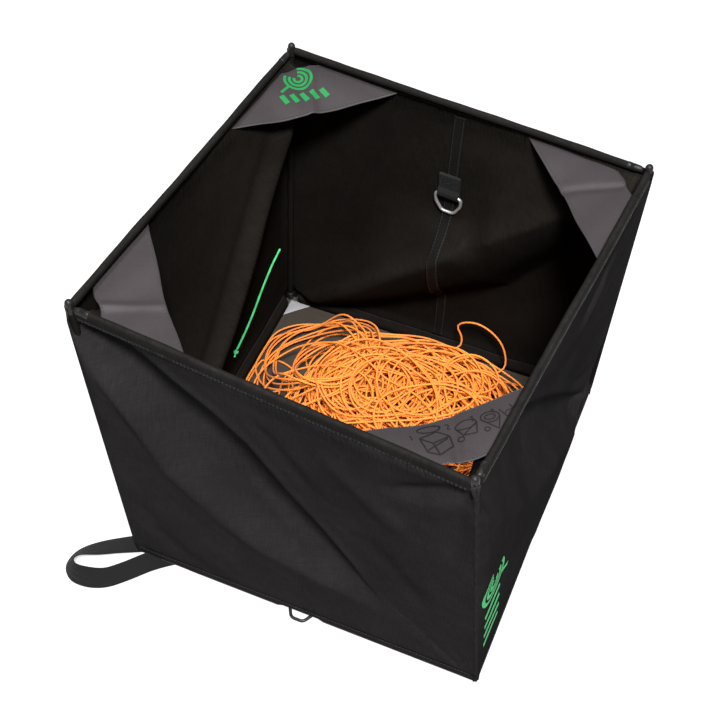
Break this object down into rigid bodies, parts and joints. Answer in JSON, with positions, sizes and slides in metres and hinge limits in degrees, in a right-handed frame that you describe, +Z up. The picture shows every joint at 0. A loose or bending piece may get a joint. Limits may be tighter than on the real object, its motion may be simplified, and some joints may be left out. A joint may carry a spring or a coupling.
{
  "type": "throw line cube",
  "caption": "Folding open-topped fabric cube on a rod frame, holding a loose heap of throw line; its rim twists as it drops and the walls fold along their diagonals.",
  "frame": {"origin": "middle of the floor's underside, on the surface that the cube stands on", "axes": "+Z up; -Y through the front wall, +X through the right wall"},
  "size_m": [0.4804, 0.4704, 0.4013],
  "materials": {
    "shell_fabric": "woven nylon with a satin sheen",
    "hem_fabric": "folded woven nylon, stitched",
    "flap_fabric": "matt coated woven fabric",
    "floor_fabric": "matt coated woven fabric",
    "webbing": "flat woven webbing",
    "rod": "glass-fibre rod",
    "cap_rubber": "satin rubber",
    "inner_ring_metal": "satin grey",
    "outer_ring_metal": "satin black",
    "throw_line": "slick braided line",
    "green_cord": "braided cord"
  },
  "bodies": {
    "floor": {"floor_panel": "floor_fabric", "base_rod_front": "rod", "base_rod_right": "rod", "base_rod_back": "rod", "base_rod_left": "rod", "base_hem_front": "hem_fabric", "base_hem_right": "hem_fabric", "base_hem_back": "hem_fabric", "base_hem_left": "hem_fabric", "throw_line": "throw_line", "outer_ring_tab": "webbing", "handle_end_left": "webbing", "handle_end_front": "webbing"},
    "lower_front": {"wall_lower_front": "shell_fabric"},
    "upper_front": {"wall_upper_front": "shell_fabric", "rim_rod_front": "rod", "rim_hem_front": "hem_fabric", "upright_rod_front_right": "rod", "upright_sleeve_front_right": "hem_fabric", "top_cap_front_right": "cap_rubber", "foot_cap_front_right": "cap_rubber"},
    "flap_front_right": {"corner_flap_front_right": "flap_fabric"},
    "lower_right": {"wall_lower_right": "shell_fabric"},
    "upper_right": {"wall_upper_right": "shell_fabric", "rim_rod_right": "rod", "rim_hem_right": "hem_fabric", "upright_rod_back_right": "rod", "upright_sleeve_back_right": "hem_fabric", "top_cap_back_right": "cap_rubber", "foot_cap_back_right": "cap_rubber"},
    "flap_back_right": {"corner_flap_back_right": "flap_fabric"},
    "lower_back": {"wall_lower_back": "shell_fabric", "seam_strip_lower": "hem_fabric"},
    "upper_back": {"wall_upper_back": "shell_fabric", "rim_rod_back": "rod", "rim_hem_back": "hem_fabric", "upright_rod_back_left": "rod", "upright_sleeve_back_left": "hem_fabric", "top_cap_back_left": "cap_rubber", "foot_cap_back_left": "cap_rubber", "seam_strip_upper": "hem_fabric", "inner_ring_tab": "webbing"},
    "flap_back_left": {"corner_flap_back_left": "flap_fabric"},
    "lower_left": {"wall_lower_left": "shell_fabric", "green_cord": "green_cord", "green_cord_knot": "green_cord"},
    "upper_left": {"wall_upper_left": "shell_fabric", "rim_rod_left": "rod", "rim_hem_left": "hem_fabric", "upright_rod_front_left": "rod", "upright_sleeve_front_left": "hem_fabric", "top_cap_front_left": "cap_rubber", "foot_cap_front_left": "cap_rubber"},
    "flap_front_left": {"corner_flap_front_left": "flap_fabric"},
    "inner_ring": {"inner_ring": "inner_ring_metal"},
    "outer_ring": {"outer_ring": "outer_ring_metal"},
    "handle": {"handle_loop": "webbing"}
  },
  "joints": [
    {"name": "fold_front", "type": "hinge", "parent": "floor", "child": "lower_front", "pos_m": [0, -0.1944, 0.0165], "axis": [-1, 0, 0], "range_deg": [0, 82], "deforming": ["wall_lower_front", "wall_upper_front", "wall_lower_right", "wall_upper_right", "wall_lower_back", "wall_upper_back", "wall_lower_left", "wall_upper_left", "corner_flap_front_right", "corner_flap_back_right", "corner_flap_back_left", "corner_flap_front_left", "seam_strip_lower", "seam_strip_upper", "throw_line", "green_cord", "green_cord_knot"]},
    {"name": "crease_front", "type": "hinge", "parent": "lower_front", "child": "upper_front", "pos_m": [-0.00834, -0.1909, 0.1975], "axis": [0.7254, -0.0317, -0.6876], "range_deg": [0, 170.01]},
    {"name": "flap_front_right", "type": "hinge", "parent": "upper_front", "child": "flap_front_right", "pos_m": [0.10433, -0.20728, 0.3794], "axis": [-0.9962, 0.0872, 0], "range_deg": [0, 78.01]},
    {"name": "fold_right", "type": "hinge", "parent": "floor", "child": "lower_right", "pos_m": [0.1944, 0, 0.0165], "axis": [0, -1, 0], "range_deg": [0, 82]},
    {"name": "crease_right", "type": "hinge", "parent": "lower_right", "child": "upper_right", "pos_m": [0.1909, -0.00834, 0.1975], "axis": [0.0317, 0.7254, -0.6876], "range_deg": [0, 170.01]},
    {"name": "flap_back_right", "type": "hinge", "parent": "upper_right", "child": "flap_back_right", "pos_m": [0.20728, 0.10433, 0.3794], "axis": [-0.0872, -0.9962, 0], "range_deg": [0, 78.01]},
    {"name": "fold_back", "type": "hinge", "parent": "floor", "child": "lower_back", "pos_m": [0, 0.1944, 0.0165], "axis": [1, 0, 0], "range_deg": [0, 82]},
    {"name": "crease_back", "type": "hinge", "parent": "lower_back", "child": "upper_back", "pos_m": [0.00834, 0.1909, 0.1975], "axis": [-0.7254, 0.0317, -0.6876], "range_deg": [0, 170.01]},
    {"name": "flap_back_left", "type": "hinge", "parent": "upper_back", "child": "flap_back_left", "pos_m": [-0.10433, 0.20728, 0.3794], "axis": [0.9962, -0.0872, 0], "range_deg": [0, 78.01]},
    {"name": "fold_left", "type": "hinge", "parent": "floor", "child": "lower_left", "pos_m": [-0.1944, 0, 0.0165], "axis": [0, 1, 0], "range_deg": [0, 82]},
    {"name": "crease_left", "type": "hinge", "parent": "lower_left", "child": "upper_left", "pos_m": [-0.1909, 0.00834, 0.1975], "axis": [-0.0317, -0.7254, -0.6876], "range_deg": [0, 170.01]},
    {"name": "flap_front_left", "type": "hinge", "parent": "upper_left", "child": "flap_front_left", "pos_m": [-0.20728, -0.10433, 0.3794], "axis": [0.0872, 0.9962, 0], "range_deg": [0, 78.01]},
    {"name": "inner_ring_swing", "type": "hinge", "parent": "upper_back", "child": "inner_ring", "pos_m": [0.01032, 0.18685, 0.272], "axis": [-0.9962, 0.0872, 0], "range_deg": [0, 100]},
    {"name": "outer_ring_swing", "type": "hinge", "parent": "floor", "child": "outer_ring", "pos_m": [0, -0.183, 0.0039], "axis": [1, 0, 0], "range_deg": [0, 85]},
    {"name": "handle_swing", "type": "hinge", "parent": "floor", "child": "handle", "pos_m": [-0.203, -0.203, 0.0019], "axis": [-0.7071, 0.7071, 0], "range_deg": [0, 80]}
  ],
  "couplings": [
    {"joint": "crease_front", "follows": "fold_front", "ratio": 2.0732},
    {"joint": "flap_front_right", "follows": "fold_front", "ratio": 0.95122},
    {"joint": "fold_right", "follows": "fold_front", "ratio": 1},
    {"joint": "crease_right", "follows": "fold_front", "ratio": 2.0732},
    {"joint": "flap_back_right", "follows": "fold_front", "ratio": 0.95122},
    {"joint": "fold_back", "follows": "fold_front", "ratio": 1},
    {"joint": "crease_back", "follows": "fold_front", "ratio": 2.0732},
    {"joint": "flap_back_left", "follows": "fold_front", "ratio": 0.95122},
    {"joint": "fold_left", "follows": "fold_front", "ratio": 1},
    {"joint": "crease_left", "follows": "fold_front", "ratio": 2.0732},
    {"joint": "flap_front_left", "follows": "fold_front", "ratio": 0.95122}
  ]
}
